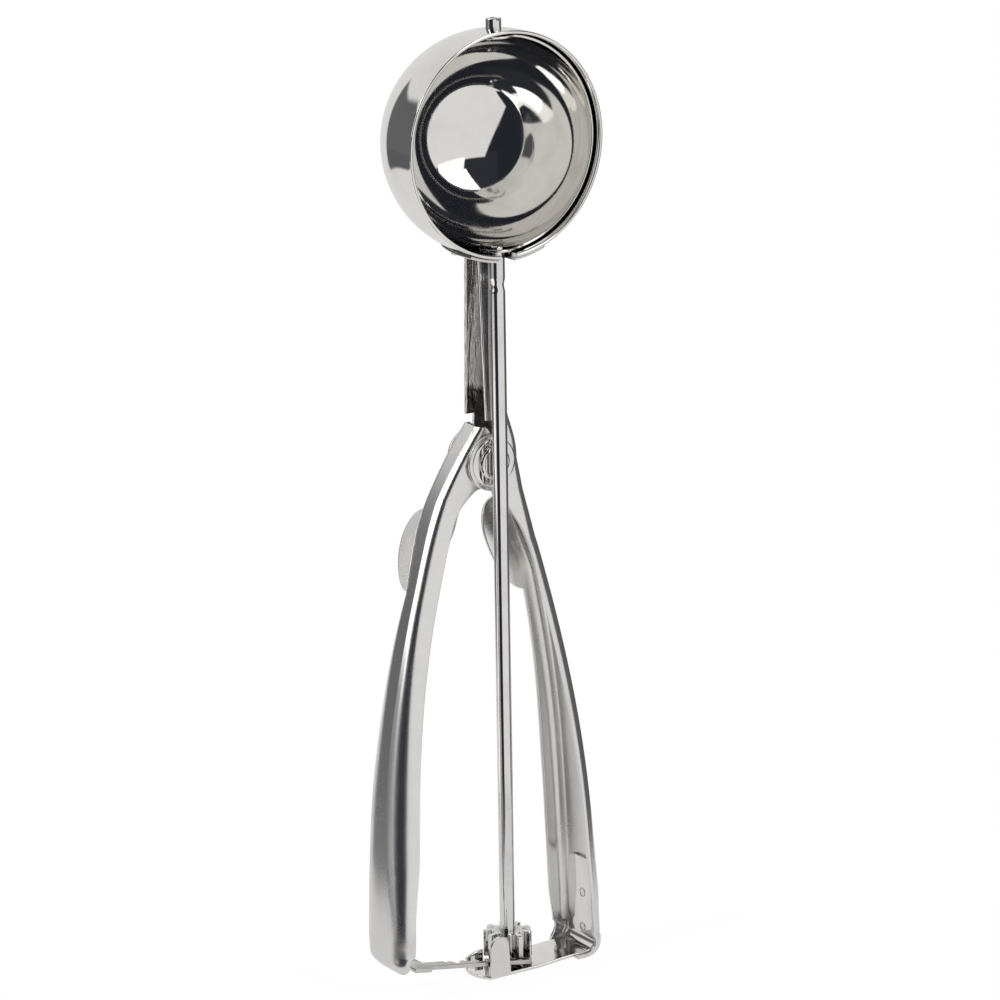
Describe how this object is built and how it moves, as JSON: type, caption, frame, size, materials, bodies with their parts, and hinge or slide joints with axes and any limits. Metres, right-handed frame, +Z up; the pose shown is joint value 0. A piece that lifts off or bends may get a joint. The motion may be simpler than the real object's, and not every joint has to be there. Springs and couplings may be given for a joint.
{
  "type": "lever ice cream scoop",
  "caption": "Hand-held portion scoop: a round bowl on a sheet-steel handle, with a sprung squeeze lever whose rack turns a pinion, a drive rod and a curved scraper blade.",
  "frame": {"origin": "where the drive rod's axis meets the plane that the foot bracket stands on", "axes": "+Z up along the drive rod towards the bowl, -Y the way the bowl opens, -X the side of the squeezed lever, +X the side of the fixed handle"},
  "size_m": [0.0612, 0.0355, 0.221],
  "materials": {
    "polished_steel": "mirror-polished stainless steel",
    "satin_steel": "satin-brushed stainless steel",
    "spring_steel": "drawn spring wire"
  },
  "bodies": {
    "handle": {"bowl": "polished_steel", "bowl_saddle": "satin_steel", "saddle_welds": "satin_steel", "fixed_handle": "satin_steel", "pivot_rivet": "polished_steel", "pivot_sleeve": "satin_steel", "return_spring": "spring_steel", "foot_bracket": "polished_steel", "bracket_welds": "satin_steel"},
    "lever": {"lever_handle": "satin_steel", "lever_spring_leg": "spring_steel", "gear_rack": "polished_steel", "rack_welds": "satin_steel"},
    "spindle": {"drive_rod": "polished_steel", "pinion": "polished_steel", "thrust_washer": "polished_steel", "scraper_blade": "polished_steel", "scraper_top_pin": "polished_steel", "rod_burr": "polished_steel", "pin_burr": "polished_steel"}
  },
  "joints": [
    {"name": "lever_squeeze", "type": "hinge", "parent": "handle", "child": "lever", "pos_m": [0.0005, 0.008, 0.1192], "axis": [0, -1, 0], "range_deg": [0, 7.7], "stiffness_Nm_per_rad": 2, "springref_deg": -22.92},
    {"name": "scraper_turn", "type": "hinge", "parent": "handle", "child": "spindle", "pos_m": [0, 0, 0.1932], "axis": [0, 0, 1], "range_deg": [0, 178]}
  ],
  "couplings": [
    {"joint": "scraper_turn", "follows": "lever_squeeze", "ratio": 23.07}
  ]
}
